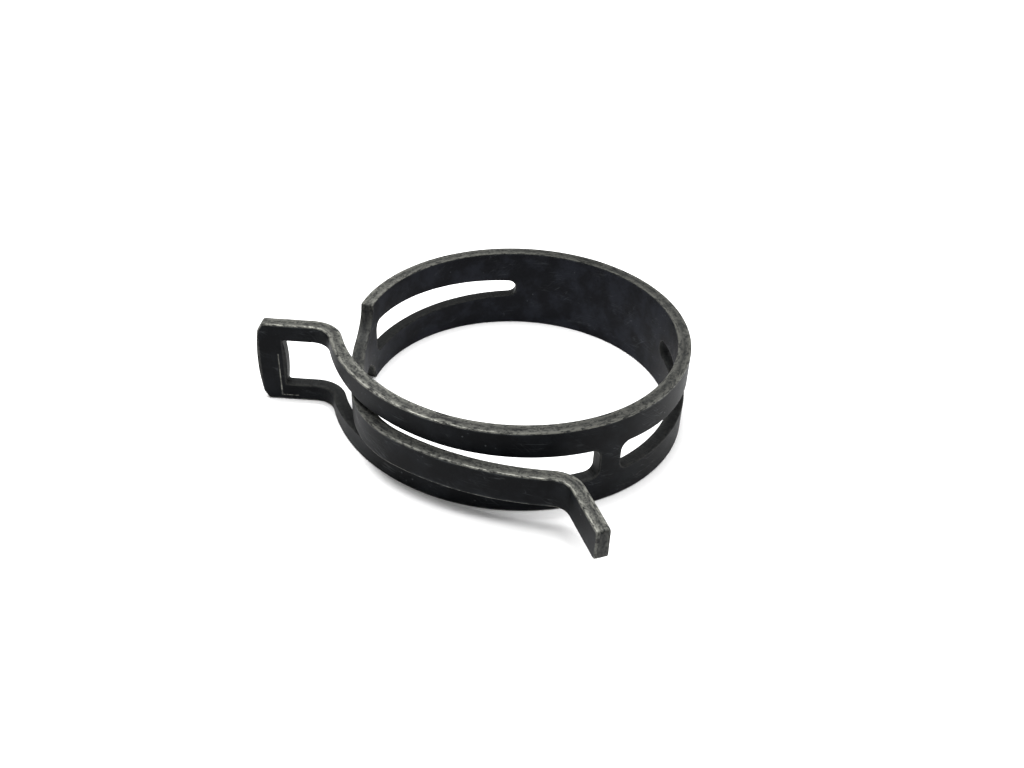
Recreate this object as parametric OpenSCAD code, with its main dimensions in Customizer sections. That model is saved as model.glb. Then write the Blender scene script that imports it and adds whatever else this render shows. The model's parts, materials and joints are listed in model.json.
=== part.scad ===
// Constant-tension hose clamp: one rolled strip of spring steel whose two ends pass
// through each other, a slotted fork on one side and a narrow tongue on the other.
// The bore axis is Z. The strip is divided where it flexes, and each division is a
// pin-and-socket line at mid-thickness, so a squeeze of the ears opens the bore.
// Stations are distances along the strip, counted both ways from the middle of the back.

/* [Strip] */
// Width of the strip, along the hose
band_w = 12; // [11:0.5:14]
// Thickness of the strip
band_t = 1.75; // [1.4:0.05:1.9]
// Radius of the relaxed bore
bore_r = 20.7; // [19:0.1:24]
// Direction of the middle of the back, seen from above
back_dir = 58; // [40:1:70]
// Play between a flex pin and its socket
flex_play = 0.05; // [0.02:0.01:0.08]

/* [Fork side] */
// Bend radius of the fork's near half, at mid-thickness
fork_near_r = 23.2; // [21.6:0.1:26]
// Bend radius of the fork's far half, at mid-thickness
fork_far_r = 25.9; // [23:0.1:30]
// Bend radius at the root of the fork ear, at mid-thickness
fork_ear_r = 3.8; // [3:0.1:5]
// Turn at the root of the fork ear
fork_ear_turn = 70.5; // [60:0.5:85]
// Straight length of the fork ear
fork_ear_l = 7.7; // [6.5:0.1:10]
// Width of the crossbar that closes the fork ear
crossbar_w = 3.7; // [2.5:0.1:4]
// Cut-off at the crossbar's two corners
crossbar_chamfer = 1.1; // [0.5:0.1:1.6]

/* [Tongue side] */
// Width of the tongue
tongue_w = 4.2; // [3.4:0.1:4.4]
// Bend radii of the tongue's four lengths, at mid-thickness
tongue_radii = [48, 13.8, 35.6, 36.4];
// Bend radius at the root of the tongue ear, at mid-thickness
tongue_ear_r = 3.2; // [3:0.1:5]
// Turn at the root of the tongue ear
tongue_ear_turn = 67.5; // [55:0.5:80]
// Straight length of the tongue ear
tongue_ear_l = 7.4; // [5:0.1:9]

/* [Slots] */
// Half-height of a relief slot at its narrow, round tip
slot_tip_half = 1.2; // [0.9:0.1:1.5]
// Half-height of the fork side's relief slot at the bridge
fork_slot_half = 2.1; // [1.8:0.1:2.6]
// Half-height of the tongue side's relief slot at the shoulder
tongue_slot_half = 2.5; // [1.8:0.1:2.8]
// Half-height of the fork window at the bridge
window_near_half = 2.1; // [1.8:0.05:2.6]
// Half-height of the fork window where its last rails start
window_rail_half = 2.85; // [2.5:0.05:3.2]
// Half-height of the fork window at the ear
window_far_half = 3.5; // [3:0.1:3.8]
// Corner radius of the slots' and the window's wide ends
slot_corner = 1.2; // [0.6:0.1:1.6]

/* [Hidden] */
$fn = 96;
mid_r = bore_r + band_t / 2;
mid_z = band_w / 2;
pin_r = 0.4 * band_t;
widest_flex = 7.6;
lip_gap = band_t / 2 * sin(widest_flex) + flex_play;
cut_depth = 8;
run_out = 1.6;
tiny = 0.0001;
steel = "#2b2d31";

// Stations along the strip, in degrees of the relaxed bore
fork_slot_from = 39.3;
fork_slot_to = 113;
window_from = 121;
tongue_slot_from = 35.3;
tongue_slot_to = 107.8;
shoulder_to = 111;
fork_flex = [18, 44, 71, 98, 125, 152, 179, 206];
fork_arcs_to = [125, 179, 233];
tongue_flex = [18, 44, 69, 94, 124, 151, 178, 205];
tongue_arcs_to = [124, 151, 178, 205, 231.3];

// Crown of the crossbar's two long edges and corner of the tongue's tip
crossbar_crown_r = 30;
crossbar_inner_crown = 0.3;
tongue_tip_corner = 0.4;

// A run is a list of [radius, turn] pieces; a turn of 0 makes a straight [length, 0]
function arc(radius, from, to) = [radius, (to - from) * mid_r / radius];

fork_run = [
    arc(mid_r, 0, fork_arcs_to[0]),
    arc(fork_near_r, fork_arcs_to[0], fork_arcs_to[1]),
    arc(fork_far_r, fork_arcs_to[1], fork_arcs_to[2]),
    [fork_ear_r, -fork_ear_turn],
    [fork_ear_l, 0]
];
tongue_run = [
    arc(mid_r, 0, tongue_arcs_to[0]),
    for (i = [0:3]) arc(tongue_radii[i], tongue_arcs_to[i], tongue_arcs_to[i + 1]),
    [tongue_ear_r, -tongue_ear_turn],
    [tongue_ear_l, 0]
];

function station(degrees) = mid_r * degrees * PI / 180;
function piece_len(piece) = piece[1] == 0 ? piece[0] : piece[0] * abs(piece[1]) * PI / 180;

// Place [x, y, heading] reached after a distance along one piece
function advance(pose, piece, distance) =
    piece[1] == 0
    ? [pose[0] + distance * cos(pose[2]), pose[1] + distance * sin(pose[2]), pose[2]]
    : let (
        side = sign(piece[1]),
        heading = pose[2] + side * distance / piece[0] * 180 / PI,
        centre_x = pose[0] - side * piece[0] * sin(pose[2]),
        centre_y = pose[1] + side * piece[0] * cos(pose[2])
    )
    [centre_x + side * piece[0] * sin(heading), centre_y - side * piece[0] * cos(heading), heading];

// Start of every piece of a run, as [distance, pose]
function starts(run, first) = [
    for (
        i = 0, distance = 0, pose = first;
        i < len(run);
        pose = advance(pose, run[i], piece_len(run[i])), distance = distance + piece_len(run[i]), i = i + 1
    ) [distance, pose]
];

function total(run, count) = count == 0 ? 0 : piece_len(run[count - 1]) + total(run, count - 1);

function place(run, first, s) =
    let (
        marks = starts(run, first),
        i = max([for (k = [0:len(run) - 1]) if (marks[k][0] <= s + tiny) k])
    )
    advance(marks[i][1], run[i], s - marks[i][0]);

function start_pose(direction) = [mid_r * cos(direction), mid_r * sin(direction), direction + 90];

// Both sides are drawn counter-clockwise; the fork side is then mirrored into place
fork_start = start_pose(180 - back_dir);
tongue_start = start_pose(back_dir);

fork_arc_end = total(fork_run, 3);
fork_bend_end = total(fork_run, 4);
fork_end = total(fork_run, 5);
tongue_arc_end = total(tongue_run, 5);
tongue_bend_end = total(tongue_run, 6);

function fork_slot_gap(s) =
    lookup(s, [[station(fork_slot_from), slot_tip_half], [station(fork_slot_to), fork_slot_half]]);
function tongue_slot_gap(s) =
    lookup(s, [[station(tongue_slot_from), slot_tip_half], [station(tongue_slot_to), tongue_slot_half]]);
function window_gap(s) =
    lookup(s, [
        [station(window_from), window_near_half],
        [station(fork_flex[7]), window_rail_half],
        [fork_arc_end, window_far_half]
    ]);

// Placing

module fork_side() {
    mirror([1, 0, 0]) children();
}

module lower_half() {
    translate([0, 0, band_w]) mirror([0, 0, 1]) children();
}

// X along the strip, Y towards the inside of the ring
module along(run, first, s) {
    pose = place(run, first, s);
    translate([pose[0], pose[1], 0]) rotate([0, 0, pose[2]]) children();
}

// Solid strip

module slab(piece, pose, from, to, low, high) {
    side = sign(piece[1]);
    if (side == 0) {
        translate([pose[0], pose[1], low]) rotate([0, 0, pose[2]]) translate([from, -band_t / 2, 0])
            cube([to - from, band_t, high - low]);
    } else {
        span = (to - from) / piece[0] * 180 / PI;
        begin = pose[2] - side * 90 + (side > 0 ? from : -to) / piece[0] * 180 / PI;
        translate([pose[0] - side * piece[0] * sin(pose[2]), pose[1] + side * piece[0] * cos(pose[2]), low])
            rotate([0, 0, begin]) rotate_extrude(angle = span)
                translate([piece[0] - band_t / 2, 0]) square([band_t, high - low]);
    }
}

module stretch(run, first, from, to, low = 0, high = band_w) {
    marks = starts(run, first);
    for (i = [0:len(run) - 1]) {
        a = max(from - marks[i][0], 0);
        b = min(to - marks[i][0], piece_len(run[i]));
        if (b > a + tiny) slab(run[i], marks[i][1], a, b, low, high);
    }
}

// A length of strip with a socket where it starts and a pin where it ends; children are cut away
module link(run, first, from, to, low = 0, high = band_w, socket = true, pin = true) {
    difference() {
        union() {
            stretch(run, first, socket ? from + lip_gap : from, to, low, high);
            if (pin) along(run, first, to) translate([0, 0, low]) cylinder(r = pin_r, h = high - low);
        }
        if (socket) along(run, first, from) translate([0, 0, -1])
            cylinder(r = pin_r + flex_play, h = band_w + 2);
        children();
    }
}

// Cuts through the strip's thickness

module through() {
    rotate([90, 0, 0]) linear_extrude(height = cut_depth, center = true) children();
}

// Middle of the strip removed between two stations, with a height that changes evenly
module taper_cut(run, first, from, to, gap_from, gap_to, before, after) {
    middle = place(run, first, (from + to) / 2);
    a = place(run, first, from);
    b = place(run, first, to);
    x_from = (a[0] - middle[0]) * cos(middle[2]) + (a[1] - middle[1]) * sin(middle[2]);
    x_to = (b[0] - middle[0]) * cos(middle[2]) + (b[1] - middle[1]) * sin(middle[2]);
    slope = (gap_to - gap_from) / (x_to - x_from);
    half_a = gap_from - slope * before;
    half_b = gap_to + slope * after;
    translate([middle[0], middle[1], mid_z]) rotate([0, 0, middle[2]]) through() polygon([
        [x_from - before, -half_a],
        [x_to + after, -half_b],
        [x_to + after, half_b],
        [x_from - before, half_a]
    ]);
}

module round_tip_cut(run, first, s) {
    along(run, first, s + slot_tip_half) translate([0, 0, mid_z]) through() circle(slot_tip_half);
}

// Blunt end of a slot with rounded corners; way is 1 where the slot ends, -1 where it starts
module blunt_end_cut(run, first, s, gap, way) {
    along(run, first, s - way * slot_corner) translate([0, 0, mid_z]) through() {
        for (up = [-1, 1]) translate([0, up * (gap - slot_corner)]) circle(slot_corner);
        translate([way > 0 ? -slot_corner / 2 : -slot_corner, slot_corner - gap])
            square([1.5 * slot_corner, 2 * (gap - slot_corner)]);
    }
}

// Upper or lower rail of a slotted stretch
module rail(run, first, from, to, gap_from, gap_to, pin = true) {
    link(run, first, from, to, mid_z, band_w, true, pin)
        taper_cut(run, first, from, to, gap_from, gap_to, run_out, run_out);
}

// The back

module back_arc() {
    color(steel) {
        link(tongue_run, tongue_start, 0, station(tongue_flex[0]), socket = false);
        fork_side() link(fork_run, fork_start, 0, station(fork_flex[0]), socket = false);
    }
}

// The fork side

module fork_flank() {
    from = station(fork_flex[0]);
    to = station(fork_flex[1]);
    slot = station(fork_slot_from) + slot_tip_half;
    color(steel) fork_side() link(fork_run, fork_start, from, to) {
        round_tip_cut(fork_run, fork_start, station(fork_slot_from));
        taper_cut(fork_run, fork_start, slot, to, slot_tip_half, fork_slot_gap(to), 0, run_out);
    }
}

module fork_slot_rail(i) {
    from = station(fork_flex[i]);
    to = station(fork_flex[i + 1]);
    color(steel) fork_side()
        rail(fork_run, fork_start, from, to, fork_slot_gap(from), fork_slot_gap(to));
}

module fork_bridge() {
    from = station(fork_flex[3]);
    to = station(fork_flex[4]);
    slot = station(fork_slot_to);
    window = station(window_from);
    slot_full = slot - slot_corner;
    window_full = window + slot_corner;
    color(steel) fork_side() link(fork_run, fork_start, from, to) {
        taper_cut(fork_run, fork_start, from, slot_full, fork_slot_gap(from), fork_slot_gap(slot), run_out, 0);
        blunt_end_cut(fork_run, fork_start, slot, fork_slot_gap(slot), 1);
        blunt_end_cut(fork_run, fork_start, window, window_gap(window), -1);
        taper_cut(fork_run, fork_start, window_full, to, window_gap(window), window_gap(to), 0, run_out);
    }
}

module fork_rail(i) {
    from = station(fork_flex[i + 3]);
    last = i == 4;
    to = last ? fork_arc_end : station(fork_flex[i + 4]);
    color(steel) fork_side()
        rail(fork_run, fork_start, from, to, window_gap(from), window_gap(to), !last);
}

module fork_ear_bend() {
    color(steel) fork_side()
        stretch(fork_run, fork_start, fork_arc_end, fork_bend_end, mid_z + window_far_half, band_w);
}

module fork_leg() {
    color(steel) fork_side()
        stretch(fork_run, fork_start, fork_bend_end, fork_end - crossbar_w, mid_z + window_far_half, band_w);
}

module crossbar_outline() {
    intersection() {
        polygon([
            [0, -mid_z],
            [crossbar_w - crossbar_chamfer, -mid_z],
            [crossbar_w, crossbar_chamfer - mid_z],
            [crossbar_w, mid_z - crossbar_chamfer],
            [crossbar_w - crossbar_chamfer, mid_z],
            [0, mid_z]
        ]);
        translate([crossbar_w - crossbar_crown_r, 0]) circle(crossbar_crown_r);
    }
    crown_r = (pow(window_far_half, 2) + pow(crossbar_inner_crown, 2)) / (2 * crossbar_inner_crown);
    intersection() {
        translate([crown_r - crossbar_inner_crown, 0]) circle(crown_r);
        translate([-1, -window_far_half]) square([2, 2 * window_far_half]);
    }
}

module fork_crossbar() {
    color(steel) fork_side() along(fork_run, fork_start, fork_end - crossbar_w)
        translate([0, 0, mid_z]) rotate([90, 0, 0])
            linear_extrude(height = band_t, center = true) crossbar_outline();
}

// The tongue side

module tongue_flank() {
    from = station(tongue_flex[0]);
    to = station(tongue_flex[1]);
    slot = station(tongue_slot_from) + slot_tip_half;
    color(steel) link(tongue_run, tongue_start, from, to) {
        round_tip_cut(tongue_run, tongue_start, station(tongue_slot_from));
        taper_cut(tongue_run, tongue_start, slot, to, slot_tip_half, tongue_slot_gap(to), 0, run_out);
    }
}

module tongue_slot_rail(i) {
    from = station(tongue_flex[i]);
    to = station(tongue_flex[i + 1]);
    color(steel) rail(tongue_run, tongue_start, from, to, tongue_slot_gap(from), tongue_slot_gap(to));
}

// Full width narrows to the tongue in a concave quarter round above and below
module tongue_shoulder() {
    from = station(tongue_flex[3]);
    to = station(tongue_flex[4]);
    slot = station(tongue_slot_to);
    slot_full = slot - slot_corner;
    edge = station(shoulder_to);
    fillet = (band_w - tongue_w) / 2;
    color(steel) link(tongue_run, tongue_start, from, to) {
        taper_cut(tongue_run, tongue_start, from, slot_full, tongue_slot_gap(from), tongue_slot_gap(slot),
            run_out, 0);
        blunt_end_cut(tongue_run, tongue_start, slot, tongue_slot_gap(slot), 1);
        along(tongue_run, tongue_start, edge + fillet) for (up = [-1, 1]) translate([0, 0, mid_z]) through() {
            translate([0, up * mid_z]) circle(fillet);
            translate([0, up * (mid_z + tongue_w / 2) / 2 - (mid_z - tongue_w / 2) / 2])
                square([2 * fillet, mid_z - tongue_w / 2]);
        }
    }
}

module tongue_strip(from, to, pin) {
    low = mid_z - tongue_w / 2;
    color(steel) link(tongue_run, tongue_start, from, to, low, low + tongue_w, true, pin);
}

module tongue_length(i) {
    last = i == 4;
    tongue_strip(station(tongue_flex[i + 3]), last ? tongue_arc_end : station(tongue_flex[i + 4]), !last);
}

module tongue_ear_bend() {
    low = mid_z - tongue_w / 2;
    color(steel) stretch(tongue_run, tongue_start, tongue_arc_end, tongue_bend_end, low, low + tongue_w);
}

module tongue_ear() {
    color(steel) along(tongue_run, tongue_start, tongue_bend_end)
        translate([0, 0, mid_z]) rotate([90, 0, 0]) linear_extrude(height = band_t, center = true) {
            translate([0, -tongue_w / 2]) square([tongue_ear_l - tongue_tip_corner, tongue_w]);
            for (up = [-1, 1])
                translate([tongue_ear_l - tongue_tip_corner, up * (tongue_w / 2 - tongue_tip_corner)])
                    circle(tongue_tip_corner);
            translate([tongue_ear_l - 1, tongue_tip_corner - tongue_w / 2])
                square([1, tongue_w - 2 * tongue_tip_corner]);
        }
}

back_arc();
fork_flank();
fork_slot_rail(1);  // fork_slot_rail_upper_1
lower_half() fork_slot_rail(1);  // fork_slot_rail_lower_1
fork_slot_rail(2);  // fork_slot_rail_upper_2
lower_half() fork_slot_rail(2);  // fork_slot_rail_lower_2
fork_bridge();
fork_rail(1);  // fork_rail_upper_1
lower_half() fork_rail(1);  // fork_rail_lower_1
fork_rail(2);  // fork_rail_upper_2
lower_half() fork_rail(2);  // fork_rail_lower_2
fork_rail(3);  // fork_rail_upper_3
lower_half() fork_rail(3);  // fork_rail_lower_3
fork_rail(4);  // fork_rail_upper_4
lower_half() fork_rail(4);  // fork_rail_lower_4
fork_ear_bend();  // fork_ear_bend_upper
lower_half() fork_ear_bend();  // fork_ear_bend_lower
fork_leg();  // fork_leg_upper
lower_half() fork_leg();  // fork_leg_lower
fork_crossbar();
tongue_flank();
tongue_slot_rail(1);  // tongue_slot_rail_upper_1
lower_half() tongue_slot_rail(1);  // tongue_slot_rail_lower_1
tongue_slot_rail(2);  // tongue_slot_rail_upper_2
lower_half() tongue_slot_rail(2);  // tongue_slot_rail_lower_2
tongue_shoulder();
tongue_length(1);  // tongue_length_1
tongue_length(2);  // tongue_length_2
tongue_length(3);  // tongue_length_3
tongue_length(4);  // tongue_length_4
tongue_ear_bend();
tongue_ear();
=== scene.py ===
import json
import math

import bmesh
import bpy
from mathutils import Matrix, Vector, geometry, noise
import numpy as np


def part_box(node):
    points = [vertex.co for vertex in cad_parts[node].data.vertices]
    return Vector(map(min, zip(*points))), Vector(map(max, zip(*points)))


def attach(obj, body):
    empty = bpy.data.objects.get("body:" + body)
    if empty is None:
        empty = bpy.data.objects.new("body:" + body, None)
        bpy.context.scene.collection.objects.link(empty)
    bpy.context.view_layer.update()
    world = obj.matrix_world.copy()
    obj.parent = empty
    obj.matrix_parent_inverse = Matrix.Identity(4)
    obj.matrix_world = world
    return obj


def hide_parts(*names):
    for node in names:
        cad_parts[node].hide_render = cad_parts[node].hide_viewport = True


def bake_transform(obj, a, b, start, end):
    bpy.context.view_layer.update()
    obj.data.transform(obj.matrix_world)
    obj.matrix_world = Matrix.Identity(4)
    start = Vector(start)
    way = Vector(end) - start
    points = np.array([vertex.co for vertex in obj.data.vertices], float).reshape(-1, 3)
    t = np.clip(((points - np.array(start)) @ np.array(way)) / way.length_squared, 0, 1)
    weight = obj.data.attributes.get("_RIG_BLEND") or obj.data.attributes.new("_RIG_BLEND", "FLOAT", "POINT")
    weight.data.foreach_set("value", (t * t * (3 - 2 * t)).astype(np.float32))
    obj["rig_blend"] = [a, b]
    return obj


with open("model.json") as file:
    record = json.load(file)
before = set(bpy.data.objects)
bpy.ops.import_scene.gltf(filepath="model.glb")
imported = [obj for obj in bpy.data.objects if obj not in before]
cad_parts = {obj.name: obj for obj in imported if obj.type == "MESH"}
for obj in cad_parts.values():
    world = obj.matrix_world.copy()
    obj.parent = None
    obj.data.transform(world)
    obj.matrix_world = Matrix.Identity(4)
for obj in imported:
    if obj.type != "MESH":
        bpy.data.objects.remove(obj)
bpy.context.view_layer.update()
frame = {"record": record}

# A constant-tension hose clamp is one strip of spring steel. It is blanked flat, with its slots,
# window and ends, then rolled, so it is made the same way here: outlines on the flat blank, a
# plate with rounded edges, and that plate rolled around the bore. Lengths are in millimetres on
# the blank, and stations are degrees of the ring counted both ways from the middle of the back.

mm = 0.001
record = frame["record"]
mounts = {m["name"]: m for m in record["mounts"]}
backLow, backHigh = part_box("back_arc")
boreRadius = mounts["hose_bore"]["dims"]["r_mm"]
backX, backY, _ = mounts["lower_edge"]["pos_m"]
midRadius = math.hypot(backX, backY) / mm
backDirection = math.atan2(backY, backX)

strip = {
    "width": (backHigh[2] - backLow[2]) / mm,
    "thickness": 2 * (midRadius - boreRadius),
    "roundInside": 0.13,  # edge rounding left by tumbling, on the bore side
    "roundOutside": 0.2,  # and on the side that the punch drew down
    "wearReach": 0.55,  # how far the worn margin reaches in from an edge
    "cornerRound": 0.42,
    "slotCorner": 1.2,
    "slotTipHalf": 1.2,
    "ringShare": 0.86,  # of a tight corner's radius that a ring of points may move in
    "coatedBelow": 0.05,  # wear under this counts as rolled face and not as sheared wall
    "stationStep": 0.5,
    "bendReach": 13,  # degrees either side of a flex line over which a length bends
    "dent": 0.035,  # unevenness of the edges, which only ever cuts inwards
    "dentLength": 1.3,
}
middle = strip["width"] / 2

forkSide = {
    "name": "fork",
    "way": -1,
    "arcs": [(midRadius, 125), (23.2, 179), (25.9, 233)],
    "earRadius": 3.8,
    "earTurn": 70.5,
    "earLength": 7.7,
    "flexAt": [18, 44, 71, 98, 125, 152, 179, 206],
    "cutAt": [0, 31, 57.5, 84.5, 117, 138.5, 165.5, 192.5, 219.5],
    "slotFrom": 39.3,
    "slotTo": 113,
    "slotHalf": 2.1,
    "windowFrom": 121,
    "windowNearHalf": 2.1,
    "windowRailHalf": 2.85,
    "windowFarHalf": 3.5,
    "crossbarWidth": 3.7,
    "crossbarChamfer": 1.1,
    "crossbarCrown": 0.42,
    "crossbarInnerCrown": 0.3,
    "scoreAt": 0.76,  # the line that the forming tool scores outside the window, past its end
    "scoreLow": 0.74,
    "scoreHigh": 7.4,
    "scoreBack": 1.5,
    "scoreWidth": 0.16,
    "scoreDepth": 0.05,
}

tongueSide = {
    "name": "tongue",
    "way": 1,
    "arcs": [(midRadius, 124), (48, 151), (13.8, 178), (35.6, 205), (36.4, 231.3)],
    "earRadius": 3.2,
    "earTurn": 67.5,
    "earLength": 7.4,
    "flexAt": [18, 44, 69, 94, 124, 151, 178, 205],
    "cutAt": [0, 31, 56.5, 81.5, 122, 137.5, 164.5, 191.5, 218],
    "slotFrom": 35.3,
    "slotTo": 107.8,
    "slotHalf": 2.5,
    "shoulderAt": 111,
    "tongueHalf": 2.1,
    "tipCorner": 0.45,
}


def stationLength(degrees):
    return midRadius * math.radians(degrees)


# The run of bends of one side, as (curvature, length) with the last one open-ended
def bendsOf(side):
    bends, reached = [], 0
    for radius, upTo in side["arcs"]:
        bends.append((1 / radius, stationLength(upTo - reached)))
        reached = upTo
    bends.append((-1 / side["earRadius"], side["earRadius"] * math.radians(side["earTurn"])))
    bends.append((0, side["earLength"]))
    return bends


def arcEnd(side):
    return stationLength(side["arcs"][-1][1])


def stripEnd(side):
    return sum(length for _, length in side["bends"])


for side in (forkSide, tongueSide):
    side["bends"] = bendsOf(side)


# Middle of the thickness, direction along the strip and direction towards the bore at a station
def placeOn(side, along):
    way = side["way"]
    heading = backDirection + way * math.pi / 2
    x, y = midRadius * math.cos(backDirection), midRadius * math.sin(backDirection)
    left = along
    for number, (curvature, length) in enumerate(side["bends"]):
        last = number == len(side["bends"]) - 1
        step = left if last else min(left, length)
        turn = way * curvature * step
        if curvature:
            x += (math.sin(heading + turn) - math.sin(heading)) / (way * curvature)
            y -= (math.cos(heading + turn) - math.cos(heading)) / (way * curvature)
        else:
            x += step * math.cos(heading)
            y += step * math.sin(heading)
        heading += turn
        left -= step
        if left <= 0 and not last:
            break
    forward = Vector((math.cos(heading), math.sin(heading), 0))
    return Vector((x, y, 0)), forward, way * Vector((-forward.y, forward.x, 0))


def pointOn(side, degrees):
    at, _, _ = placeOn(side, stationLength(degrees))
    return ((at + Vector((0, 0, middle))) * mm)[:]


# Closed outline from (along, height, corner radius), with each rounded corner as a short arc
def roundedOutline(corners):
    outline = []
    for i, (along, height, radius) in enumerate(corners):
        here = Vector((along, height))
        before = Vector(corners[i - 1][:2]) - here
        after = Vector(corners[(i + 1) % len(corners)][:2]) - here
        opening = before.angle(after)
        if radius == 0 or math.pi - opening < 0.01:
            outline.append(here)
            continue
        reach = radius / math.tan(opening / 2)
        inwards = (before.normalized() + after.normalized()).normalized()
        centre = here + inwards * radius / math.sin(opening / 2)
        first = here + before.normalized() * reach - centre
        last = here + after.normalized() * reach - centre
        sweep = first.angle_signed(last)
        steps = max(3, round(abs(sweep) / math.radians(11)))
        for k in range(steps + 1):
            outline.append(centre + first @ Matrix.Rotation(sweep * k / steps, 2))
    return outline


# Points of a bowed edge from height low to high that stands out by the crown at its middle
def bowedEdge(along, low, high, crown, radius, points=12):
    edge = []
    for k in range(points + 1):
        share = 2 * k / points - 1
        corner = radius if k in (0, points) else 0
        edge.append((along + crown * (1 - share * share), low + (high - low) * k / points, corner))
    return edge


def slotOutline(side):
    corner, tip = strip["slotCorner"], strip["slotTipHalf"]
    near, far = stationLength(side["slotFrom"]), stationLength(side["slotTo"])
    return roundedOutline([
        (near, middle - tip, 0.98 * tip),
        (far, middle - side["slotHalf"], corner),
        (far, middle + side["slotHalf"], corner),
        (near, middle + tip, 0.98 * tip),
    ])


startPast = -2  # the blank starts a little past the middle of the back and is cut there


def forkOutlines(side):
    end, chamfer, width = stripEnd(side), side["crossbarChamfer"], strip["width"]
    crown, corner = side["crossbarCrown"], strip["cornerRound"]
    outer = roundedOutline(
        [(startPast, 0, 0), (end - chamfer, 0, corner)]
        + bowedEdge(end - crown, chamfer, width - chamfer, crown, corner)
        + [(end - chamfer, width, corner), (startPast, width, 0)]
    )
    near, corner = stationLength(side["windowFrom"]), strip["slotCorner"]
    crossbar = end - side["crossbarWidth"]
    lastRails, farHalf = stationLength(side["flexAt"][-1]), side["windowFarHalf"]
    taper = [
        (near, side["windowNearHalf"], corner),
        (lastRails, side["windowRailHalf"], 0),
        (arcEnd(side), farHalf, 0),
    ]
    window = roundedOutline(
        [(along, middle - half, radius) for along, half, radius in taper]
        + bowedEdge(crossbar, middle - farHalf, middle + farHalf, -side["crossbarInnerCrown"], 0.3)
        + [(along, middle + half, radius) for along, half, radius in reversed(taper)]
    )
    return outer, [slotOutline(side), window]


# The corner-shaped line that the forming tool scores on the outside, around the window's end
def scoreOutline(side):
    window, half = stripEnd(side) - side["crossbarWidth"], side["scoreWidth"] / 2
    across, low = window + side["scoreAt"], side["scoreLow"]
    back, top = window - side["scoreBack"], side["scoreHigh"]
    return roundedOutline([
        (back, low - half, 0), (across + half, low - half, 0.05), (across + half, top, 0),
        (across - half, top, 0), (across - half, low + half, 0), (back, low + half, 0),
    ])


def tongueOutlines(side):
    end, width, half, tip = stripEnd(side), strip["width"], side["tongueHalf"], side["tipCorner"]
    shoulder, hollow = stationLength(side["shoulderAt"]), middle - half
    lower = [(shoulder, 0, 0.3)]
    for k in range(1, 13):
        angle = math.radians(7.5 * k)
        lower.append((shoulder + hollow * (1 - math.cos(angle)), hollow * math.sin(angle), 0))
    lower.append((end, hollow, tip))
    upper = [(along, width - height, radius) for along, height, radius in reversed(lower)]
    outer = roundedOutline([(startPast, 0, 0)] + lower + upper + [(startPast, width, 0)])
    return outer, [slotOutline(side)]


# Rings from the worn margin on the bore side, around the rounded edge and the sheared wall, to
# the worn margin on the outside: (inset, depth towards the bore, lean out of the face, side, wear)
def edgeRings():
    half = strip["thickness"] / 2
    rings = []
    for face, rounding in ((1, strip["roundInside"]), (-1, strip["roundOutside"])):
        group = [(strip["wearReach"], half, 0, 0)]
        for angle, wear in ((0, 0.5), (30, 0.9), (60, 1), (90, 0.75)):
            lean = math.radians(angle)
            inset = rounding * (1 - math.sin(lean))
            group.append((inset, half - rounding * (1 - math.cos(lean)), lean, wear))
        group = [(inset, face * depth, lean, face, wear) for inset, depth, lean, wear in group]
        rings += group if face == 1 else [(0, 0, math.pi / 2, 1, 0.1)] + group[::-1]
    return rings


# Outward direction and tightest convex radius at each point of an outline; solidSide is 1 where
# the steel lies inside the outline and -1 around a hole
def outwardOf(outline, solidSide):
    area = sum(a.cross(b) for a, b in zip(outline, outline[1:] + outline[:1]))
    turnWay = math.copysign(1, area) * solidSide
    found = []
    for i, here in enumerate(outline):
        arriving = (here - outline[i - 1]).normalized()
        leaving = (outline[(i + 1) % len(outline)] - here).normalized()
        tangent = (arriving + leaving).normalized()
        outward = Vector((tangent.y, -tangent.x)) * turnWay
        turn = arriving.cross(leaving) * turnWay
        following = outline[(i + 1) % len(outline)]
        stepLength = min((here - outline[i - 1]).length, (following - here).length)
        radius = stepLength / turn if turn > 0.02 else 99
        found.append((outward, radius))
    radii = [radius for _, radius in found]
    count = len(radii)
    tightest = [min(radii[i - 1], radii[i], radii[(i + 1) % count]) for i in range(count)]
    return [(outward, radius) for (outward, _), radius in zip(found, tightest)]


def isInside(loop, x, y):
    inside = False
    for a, b in zip(loop, loop[1:] + loop[:1]):
        if (a.y > y) != (b.y > y) and x < a.x + (y - a.y) / (b.y - a.y) * (b.x - a.x):
            inside = not inside
    return inside


# Triangles over the area inside one loop of points and outside the others
def fillFace(plate, outer, inner):
    loops = [outer] + inner
    verts = [vert for loop in loops for vert in loop]
    corners = [Vector(vert.co.xy) for vert in verts]
    edges, first = [], 0
    for loop in loops:
        edges += [(first + i, first + (i + 1) % len(loop)) for i in range(len(loop))]
        first += len(loop)
    flat = [[Vector(vert.co.xy) for vert in loop] for loop in loops]
    points, _, triangles, sources, _, _ = geometry.delaunay_2d_cdt(corners, edges, [], 0, 1e-5)
    for triangle in triangles:
        centre = sum((points[i] for i in triangle), Vector((0, 0))) / 3
        if isInside(flat[0], *centre) and not any(isInside(hole, *centre) for hole in flat[1:]):
            plate.faces.new([verts[sources[i][0]] for i in triangle])


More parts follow.
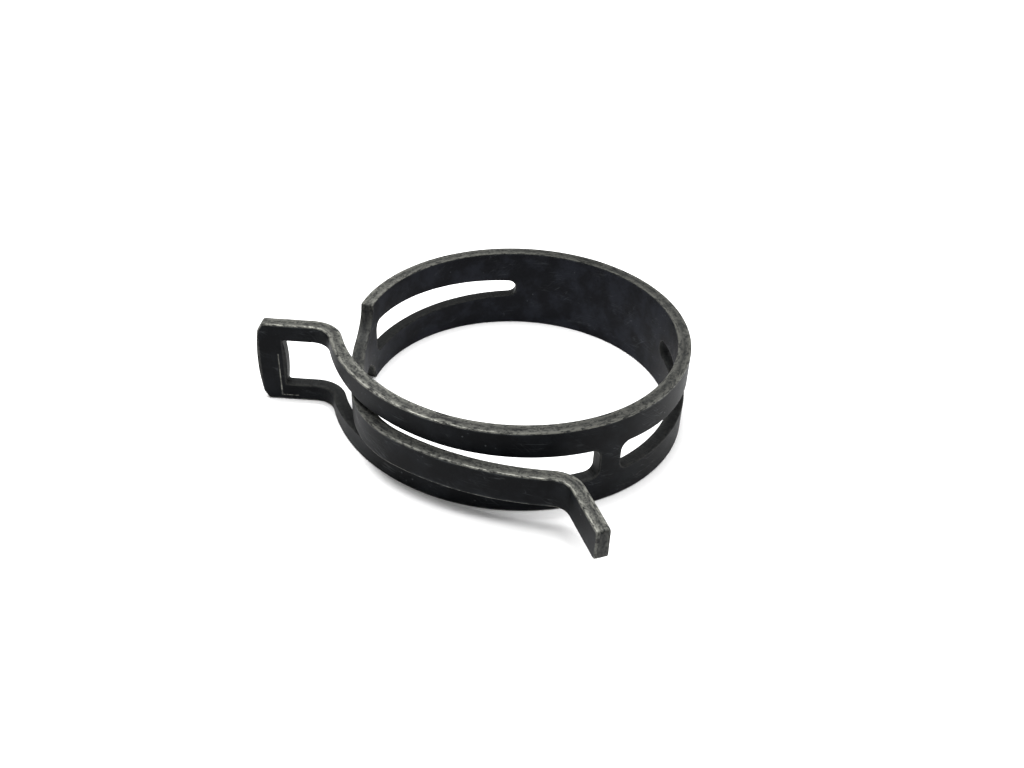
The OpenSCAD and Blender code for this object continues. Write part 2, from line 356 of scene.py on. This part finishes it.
# The flat plate: two faces, and rounded edges around the outline and every hole
def flatPlate(side, outer, holes):
    plate = bmesh.new()
    leanLayer = plate.verts.layers.float_vector.new("leaning")
    wearLayer = plate.verts.layers.float.new("wear")
    # the recess mask paints shade: it holds back bare metal in the recesses
    recessShadeLayer = plate.verts.layers.float.new("sheltered")
    rings, faceLoops = edgeRings(), {1: [], -1: []}
    for outline, solidSide in [(outer, 1)] + [(hole, -1) for hole in holes]:
        outward = outwardOf(outline, solidSide)
        loops = []
        for inset, depth, lean, face, wear in rings:
            loop = []
            for here, (out, radius) in zip(outline, outward):
                at = here - out * min(inset, strip["ringShare"] * radius)
                vert = plate.verts.new((at.x, at.y, depth))
                sideways = out * math.sin(lean)
                vert[leanLayer] = (sideways.x, sideways.y, face * math.cos(lean))
                vert[wearLayer] = wear
                inWindow = 1 < here.y < strip["width"] - 1 and here.x < arcEnd(side)
                # painted shade: 1 around holes, 0.8 along the narrowed tongue, up to 0.7 on walls facing along
                # the strip
                vert[recessShadeLayer] = 1 if solidSide < 0 else max(0.8 * inWindow, 0.7 * abs(out.x))
                loop.append(vert)
            loops.append(loop)
        for loop, following in zip(loops, loops[1:]):
            for i in range(len(loop)):
                plate.faces.new((loop[i - 1], loop[i], following[i], following[i - 1]))
        faceLoops[1].append(loops[0])
        faceLoops[-1].append(loops[-1])
    if "scoreDepth" in side:
        outline, loops = scoreOutline(side), []
        # a clean ring around the line keeps its brightness off the face beside it
        for inset, depth, wear in ((-0.1, 0, 0), (0, 0, 0.5), (0.04, side["scoreDepth"], 0.9)):
            loop = []
            for here, (out, _) in zip(outline, outwardOf(outline, 1)):
                at = here - out * inset
                vert = plate.verts.new((at.x, at.y, depth - strip["thickness"] / 2))
                vert[leanLayer] = (0, 0, -1)
                vert[wearLayer] = wear * min(1, 1.4 - at.y / side["scoreHigh"])
                loop.append(vert)
            loops.append(loop)
        for loop, following in zip(loops, loops[1:]):
            for i in range(len(loop)):
                plate.faces.new((loop[i - 1], loop[i], following[i], following[i - 1]))
        faceLoops[-1].append(loops[0])
        fillFace(plate, loops[-1], [])
    for loops in faceLoops.values():
        fillFace(plate, loops[0], loops[1:])
    return plate


def everyPart(mesh):
    return mesh.verts[:] + mesh.edges[:] + mesh.faces[:]


def cutAcross(mesh, along, keepAfter=False, keepBefore=False):
    bmesh.ops.bisect_plane(
        mesh, geom=everyPart(mesh), dist=0.0005, plane_co=(along, 0, 0), plane_no=(1, 0, 0),
        clear_inner=keepAfter, clear_outer=keepBefore,
    )


# One length of the plate, closed at its ends, divided along the strip and rolled to its place
def rolledLength(name, side, plate, fromAlong, toAlong, closeFar):
    mesh = plate.copy()
    cutAcross(mesh, fromAlong, keepAfter=True)
    if closeFar:
        cutAcross(mesh, toAlong, keepBefore=True)
    divisions = math.ceil((toAlong - fromAlong) / strip["stationStep"])
    for k in range(1, divisions):
        cutAcross(mesh, fromAlong + (toAlong - fromAlong) * k / divisions)
    ends = bmesh.ops.edgeloop_fill(mesh, edges=[e for e in mesh.edges if e.is_boundary])["faces"]
    for face in ends:
        outwards = 1 if face.calc_center_median().x > (fromAlong + toAlong) / 2 else -1
        face.normal_update()
        if face.normal.x * outwards < 0:
            face.normal_flip()
    leanLayer = mesh.verts.layers.float_vector["leaning"]
    wearLayer = mesh.verts.layers.float["wear"]
    blankLayer = mesh.verts.layers.float_vector.new("blank")
    half = strip["thickness"] / 2
    wallFaces = []
    for face in mesh.faces:
        worn = [vert[wearLayer] > strip["coatedBelow"] for vert in face.verts]
        inWall = [abs(vert.co.z) < 0.9 * half for vert in face.verts]
        wallFaces.append(any(worn) and all(a or b for a, b in zip(worn, inWall)))
    # every face looks the way its points lean; the tongue side is rolled left-handed
    for face in set(mesh.faces) - set(ends):
        face.normal_update()
        if face.normal.dot(sum((Vector(vert[leanLayer]) for vert in face.verts), Vector())) < 0:
            face.normal_flip()
    if side["way"] > 0:
        bmesh.ops.reverse_faces(mesh, faces=mesh.faces[:])
    normals = []
    for vert in mesh.verts:
        along, height, depth = vert.co
        at, forward, inward = placeOn(side, along)
        lean = Vector(vert[leanLayer])
        signed = side["way"] * along
        vert[blankLayer] = (signed, height, depth)
        uneven = (noise.noise(Vector((signed, height, depth)) / strip["dentLength"]) - 1) / 2
        sideways = Vector((lean.x, lean.y)) * uneven * strip["dent"] * vert[wearLayer]
        at += forward * sideways.x + inward * depth
        vert.co = Vector((at.x, at.y, height + sideways.y)) * mm
        normal = forward * lean.x + Vector((0, 0, lean.y)) + inward * lean.z
        normals.append(normal.normalized())
    data = bpy.data.meshes.new(name)
    mesh.to_mesh(data)
    mesh.free()
    data.materials.append(rolledFace)
    data.materials.append(shearedEdge)
    data.polygons.foreach_set("material_index", [int(wall) for wall in wallFaces])
    data.polygons.foreach_set("use_smooth", [True] * len(data.polygons))
    data.normals_split_custom_set_from_vertices([n[:] for n in normals])
    piece = bpy.data.objects.new(name, data)
    bpy.context.scene.collection.objects.link(piece)
    return piece


# Materials

def linearColour(hexText):
    channels = [int(hexText[i:i + 2], 16) / 255 for i in (1, 3, 5)]
    return [c / 12.92 if c <= 0.04045 else ((c + 0.055) / 1.055) ** 2.4 for c in channels] + [1]


# A node with its settings and its inputs; an input is a value, a socket, or a node whose first
# output in use feeds it
def addNode(tree, kind, inputs=None, **settings):
    node = tree.nodes.new(kind)
    for name, value in settings.items():
        setattr(node, name, value)
    for name, value in (inputs or {}).items():
        socket = node.inputs[name] if isinstance(name, int) else next(
            s for s in node.inputs if s.enabled and s.name == name)
        if isinstance(value, bpy.types.Node):
            value = next(s for s in value.outputs if s.enabled)
        if isinstance(value, bpy.types.NodeSocket):
            tree.links.new(value, socket)
        else:
            socket.default_value = value
    return node


def startMaterial(name):
    material = bpy.data.materials.new(name)
    material.use_nodes = True
    material.node_tree.nodes.clear()
    return material, material.node_tree


# Cloudy value over the blank: sizes are the millimetres that one cloud takes along the strip,
# across it and through it
def cloudiness(tree, sizes, detail, roughness, turn=0):
    blank = addNode(tree, "ShaderNodeAttribute", attribute_name="blank").outputs["Vector"]
    turned = addNode(tree, "ShaderNodeMapping", {"Vector": blank, "Rotation": (0, 0, math.radians(turn))})
    sized = addNode(tree, "ShaderNodeMapping", {"Vector": turned, "Scale": [1 / size for size in sizes]})
    return addNode(tree, "ShaderNodeTexNoise", {
        "Vector": sized, "Scale": 1.0, "Detail": detail, "Roughness": roughness,
    })


# Where a cloudy value passes from low to high, as 0 to 1 or as the share given
def cloudPatches(tree, pattern, low, high, least=0.0, most=1.0):
    size, detail, roughness = pattern
    return addNode(tree, "ShaderNodeMapRange", {
        "Value": cloudiness(tree, size, detail, roughness), "From Min": low, "From Max": high,
        "To Min": least, "To Max": most,
    }, interpolation_type="SMOOTHSTEP")


# Thin wandering drawn lines where a stretched cloud crosses its middle value
def drawnLines(tree, line):
    away = addNode(tree, "ShaderNodeMath", {
        0: cloudiness(tree, line["sizes"], 1.0, 0.4, line["turn"]), 1: 0.5,
    }, operation="SUBTRACT")
    size = addNode(tree, "ShaderNodeMath", {0: away}, operation="ABSOLUTE")
    return addNode(tree, "ShaderNodeMapRange", {
        "Value": size, "From Min": line["width"], "From Max": 0.25 * line["width"],
    }, interpolation_type="SMOOTHSTEP")


# Small pits where the coat has chipped away
def chippedCoat(tree, finish):
    blank = addNode(tree, "ShaderNodeAttribute", attribute_name="blank").outputs["Vector"]
    cells = addNode(tree, "ShaderNodeTexVoronoi", {
        "Vector": blank, "Scale": 1 / finish["pitSpacing"], "Randomness": 1.0,
    }).outputs["Distance"]
    size = finish["pitSize"] / finish["pitSpacing"]
    pits = addNode(tree, "ShaderNodeMapRange", {
        "Value": cells, "From Min": size, "From Max": 0.4 * size,
    }, interpolation_type="SMOOTHSTEP")
    places = cloudPatches(tree, finish["pitPatches"], *finish["pitShare"])
    return addNode(tree, "ShaderNodeMath", {0: pits, 1: places}, operation="MULTIPLY")


# Painted shade: less bare metal, so darker steel, around the slots and the window, along the narrowed tongue
# and on walls facing along the strip
def recessShadeFactor(tree, finish):
    sheltered = addNode(tree, "ShaderNodeAttribute", attribute_name="sheltered").outputs["Fac"]
    return addNode(tree, "ShaderNodeMapRange", {
        "Value": sheltered, "From Min": 0.0, "From Max": 1.0, "To Min": 1.0, "To Max": finish["shelteredShare"],
    })


# Bare metal at the rims: the worn margin that the mesh carries, rubbed through in patches and held back by the
# painted shade in the recesses
def rubbedRim(tree, finish):
    wear = addNode(tree, "ShaderNodeAttribute", attribute_name="wear").outputs["Fac"]
    patches = cloudPatches(tree, finish["rimPatches"], *finish["rimShare"])
    rim = addNode(tree, "ShaderNodeMath", {0: wear, 1: patches}, operation="MULTIPLY")
    return addNode(tree, "ShaderNodeMath", {0: rim, 1: recessShadeFactor(tree, finish)}, operation="MULTIPLY")


# Steel that is coated where bare is 0 and rubbed bare where it is 1
def coatedSteel(tree, finish, coat, bare, relief):
    colour = addNode(tree, "ShaderNodeMix", {
        "Factor": bare, "A": coat, "B": linearColour(finish["bare"]),
    }, data_type="RGBA")
    roughness = addNode(tree, "ShaderNodeMix", {
        "Factor": bare, "A": finish["coatRoughness"], "B": finish["bareRoughness"],
    }, data_type="FLOAT")
    bump = addNode(tree, "ShaderNodeBump", {
        "Height": relief, "Strength": finish["reliefStrength"], "Distance": finish["reliefDepth"] * mm,
    })
    shader = addNode(tree, "ShaderNodeBsdfPrincipled", {
        "Base Color": colour, "Roughness": roughness, "Metallic": bare,
        "Specular IOR Level": finish["specular"], "Normal": bump,
    })
    addNode(tree, "ShaderNodeOutputMaterial", {"Surface": shader})


# Spring steel strip, rolled, hardened and blackened in an oiled phosphate bath: a deep satin
# blue-black that is slightly cloudy, with faint drawn scratches and pale pits where it has rubbed;
# the bore side is painted paler, painted light for the brighter light on the inside of the ring
rolled = {
    "dark": "#040507",
    "cloudy": "#0e1013",
    # painted light: paler coat colours for the bore side, standing in for the light on the inside of the ring
    "boreDark": "#0d0e12",
    "boreCloudy": "#1b1d23",
    "bare": "#4d5052",
    "coatRoughness": 0.5,
    "bareRoughness": 0.34,
    "specular": 0.05,  # the phosphate coat is porous, so it throws back little of the light
    "clouds": ((3.2, 3.2, 3.2), 4.0, 0.6),
    "cloudShare": (0.38, 0.66),
    # real scratches are a few hundredths wide, and are drawn wider here so that they show
    "lengthwise": {"sizes": (9, 0.5, 9), "width": 0.016, "turn": 3},
    "slanted": {"sizes": (6, 0.7, 6), "width": 0.012, "turn": 38},
    "scratchPatches": ((4.5, 2.2, 4.5), 2.0, 0.5),
    "scratchShare": (0.5, 0.62),
    "scratchDepth": 0.2,
    "pitSpacing": 0.9,
    "pitSize": 0.17,
    "pitPatches": ((1.7, 1.7, 1.7), 3.0, 0.7),
    "pitShare": (0.56, 0.66),
    "pitDepth": 0.5,
    # painted shade: share of the bare metal that is left in the recesses
    "shelteredShare": 0.12,
    "rimPatches": ((1.6, 0.5, 0.5), 4.0, 0.7),
    "rimShare": (0.42, 0.64),
    "grain": ((0.11, 0.11, 0.11), 3.0, 0.6),
    "reliefStrength": 0.5,
    "reliefDepth": 0.012,
}


def blackenedRolledSteel():
    material, tree = startMaterial("blackenedSpringSteelRolled")
    clouds = cloudPatches(tree, rolled["clouds"], *rolled["cloudShare"])
    outside = addNode(tree, "ShaderNodeMix", {
        "Factor": clouds, "A": linearColour(rolled["dark"]), "B": linearColour(rolled["cloudy"]),
    }, data_type="RGBA")
    # painted light: the bore side takes the paler colours
    bore = addNode(tree, "ShaderNodeMix", {
        "Factor": clouds, "A": linearColour(rolled["boreDark"]), "B": linearColour(rolled["boreCloudy"]),
    }, data_type="RGBA")
    blank = addNode(tree, "ShaderNodeAttribute", attribute_name="blank").outputs["Vector"]
    depth = addNode(tree, "ShaderNodeSeparateXYZ", {"Vector": blank}).outputs["Z"]
    boreSide = addNode(tree, "ShaderNodeMath", {0: depth, 1: 0.0}, operation="GREATER_THAN")
    coat = addNode(tree, "ShaderNodeMix", {"Factor": boreSide, "A": outside, "B": bore}, data_type="RGBA")
    lines = addNode(tree, "ShaderNodeMath", {
        0: drawnLines(tree, rolled["lengthwise"]), 1: drawnLines(tree, rolled["slanted"]),
    }, operation="MAXIMUM")
    patches = cloudPatches(tree, rolled["scratchPatches"], *rolled["scratchShare"], 0.0, rolled["scratchDepth"])
    scratches = addNode(tree, "ShaderNodeMath", {0: lines, 1: patches}, operation="MULTIPLY")
    pits = addNode(tree, "ShaderNodeMath", {
        0: chippedCoat(tree, rolled), 1: rolled["pitDepth"],
    }, operation="MULTIPLY")
    marks = addNode(tree, "ShaderNodeMath", {0: scratches, 1: pits}, operation="MAXIMUM")
    bare = addNode(tree, "ShaderNodeMath", {0: marks, 1: rubbedRim(tree, rolled)}, operation="MAXIMUM")
    relief = addNode(tree, "ShaderNodeMath", {
        0: cloudiness(tree, *rolled["grain"]), 1: marks,
    }, operation="SUBTRACT")
    coatedSteel(tree, rolled, coat, bare, relief)
    return material


# The same steel where the press sheared the blank: short drag lines run through the thickness,
# the torn part is coarse, and the coat is thin and rubbed, so the wall is a worn, speckled grey
sheared = {
    "dark": "#0b0c0d",
    "grey": "#1b1d1e",
    "bare": "#85857e",
    "coatRoughness": 0.55,
    "bareRoughness": 0.36,
    "specular": 0.1,
    "drag": ((0.14, 0.14, 1.6), 3.0, 0.6),
    "dragShare": (0.35, 0.7),
    "torn": ((0.35, 0.35, 0.3), 4.0, 0.65),
    "tornShare": (0.36, 0.66),
    "worn": ((2.6, 2.6, 0.9), 4.0, 0.6),
    "wornShare": (0.36, 0.62),
    "wornDepth": (0.08, 0.5),
    # painted shade: share of the bare metal that is left in the recesses
    "shelteredShare": 0.08,
    "rimPatches": ((0.9, 0.9, 0.3), 4.0, 0.7),
    "rimShare": (0.38, 0.58),
    "reliefStrength": 0.6,
    "reliefDepth": 0.03,
}


def blackenedShearedSteel():
    material, tree = startMaterial("blackenedSpringSteelSheared")
    coat = addNode(tree, "ShaderNodeMix", {
        "Factor": cloudPatches(tree, sheared["drag"], *sheared["dragShare"]),
        "A": linearColour(sheared["dark"]), "B": linearColour(sheared["grey"]),
    }, data_type="RGBA")
    worn = cloudPatches(tree, sheared["worn"], *sheared["wornShare"], *sheared["wornDepth"])
    torn = cloudPatches(tree, sheared["torn"], *sheared["tornShare"])
    patchy = addNode(tree, "ShaderNodeMath", {0: worn, 1: torn}, operation="MULTIPLY")
    # painted shade: the worn patches are held back in the recesses
    rubbed = addNode(tree, "ShaderNodeMath", {0: patchy, 1: recessShadeFactor(tree, sheared)}, operation="MULTIPLY")
    bare = addNode(tree, "ShaderNodeMath", {0: rubbed, 1: rubbedRim(tree, sheared)}, operation="MAXIMUM")
    relief = addNode(tree, "ShaderNodeMath", {
        0: cloudiness(tree, *sheared["drag"]), 1: cloudiness(tree, *sheared["torn"]),
    }, operation="ADD")
    coatedSteel(tree, sheared, coat, bare, relief)
    return material


rolledFace = blackenedRolledSteel()
shearedEdge = blackenedShearedSteel()
print("materials made")


# Each length spans a flex line and bends across it, so the strip stays whole at every pose
def makeSide(side, outlines, bodies, nodesOf):
    outer, holes = outlines(side)
    plate = flatPlate(side, outer, holes)
    cuts = [stationLength(degrees) for degrees in side["cutAt"]]
    reach = strip["bendReach"]
    for i, flex in enumerate(side["flexAt"]):
        name = f"{side['name']}_strip_{i + 1}"
        piece = rolledLength(name, side, plate, cuts[i], cuts[i + 1], True)
        start = max(side["cutAt"][i], flex - reach)
        end = min(side["cutAt"][i + 1], flex + reach)
        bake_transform(piece, bodies[i], bodies[i + 1], start=pointOn(side, start), end=pointOn(side, end))
        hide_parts(*(nodesOf[bodies[i + 1]] + (nodesOf[bodies[0]] if i == 0 else [])))
    ear = rolledLength(f"{side['name']}_ear_strip", side, plate, cuts[-1], stripEnd(side), False)
    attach(ear, bodies[-1])
    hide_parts(*nodesOf[bodies[-1]])
    plate.free()
    print(side["name"], "side rolled")


nodesOf = record["behaviour"]["bodies"]
for side, outlines in ((forkSide, forkOutlines), (tongueSide, tongueOutlines)):
    links = [f"{side['name']}_link_{i + 1}" for i in range(len(side["flexAt"]))]
    makeSide(side, outlines, ["back"] + links, nodesOf)

# Floor, light and camera
studio = {
    "floorSize": 4.0,
    "floorColour": "#ffffff",
    "skyColour": "#ffffff",
    "skyStrength": 0.45,
    "keyPower": 8.0,
    "keySize": 0.5,
    "keyAt": (-0.05, 0.08, 0.6),
    "lookAt": (-0.00096, 0.00398, 0),
    "distance": 0.14353,
    "elevation": 36.48,
    "roll": 2.52,
    "lens": 36.21,
    "sensor": 36,
    "clipStart": 0.005,
}


def layFloor():
    data = bpy.data.meshes.new("floor")
    half = studio["floorSize"] / 2
    corners = [(-half, -half, 0), (half, -half, 0), (half, half, 0), (-half, half, 0)]
    data.from_pydata(corners, [], [(0, 1, 2, 3)])
    floor = bpy.data.objects.new("floor", data)
    bpy.context.scene.collection.objects.link(floor)
    material, tree = startMaterial("matWhitePaper")
    shader = addNode(tree, "ShaderNodeBsdfDiffuse", {"Color": linearColour(studio["floorColour"])})
    addNode(tree, "ShaderNodeOutputMaterial", {"Surface": shader.outputs["BSDF"]})
    data.materials.append(material)


def hangLights():
    world = bpy.data.worlds.new("studio")
    world.use_nodes = True
    background = world.node_tree.nodes["Background"]
    background.inputs["Color"].default_value = linearColour(studio["skyColour"])
    background.inputs["Strength"].default_value = studio["skyStrength"]
    bpy.context.scene.world = world
    # plain colours on a white floor, without a film-like curve that greys both
    bpy.context.scene.view_settings.view_transform = "Standard"
    light = bpy.data.lights.new("softbox", "AREA")
    light.energy = studio["keyPower"]
    light.size = studio["keySize"]
    softbox = bpy.data.objects.new("softbox", light)
    softbox.location = studio["keyAt"]
    softbox.rotation_euler = (-Vector(studio["keyAt"])).to_track_quat("-Z", "Y").to_euler()
    bpy.context.scene.collection.objects.link(softbox)


def setCamera():
    data = bpy.data.cameras.new("camera")
    data.lens = studio["lens"]
    data.sensor_width = studio["sensor"]
    data.clip_start = studio["clipStart"]
    camera = bpy.data.objects.new("camera", data)
    elevation = math.radians(studio["elevation"])
    at = Vector((0, -math.cos(elevation), math.sin(elevation))) * studio["distance"]
    towards = (Vector(studio["lookAt"]) - at).normalized()
    rolledBy = Matrix.Rotation(math.radians(studio["roll"]), 3, "Z")
    turned = towards.to_track_quat("-Z", "Y").to_matrix() @ rolledBy
    camera.matrix_world = Matrix.Translation(at) @ turned.to_4x4()
    bpy.context.scene.collection.objects.link(camera)
    bpy.context.scene.camera = camera


layFloor()
hangLights()
setCamera()
print("floor, light and camera set")
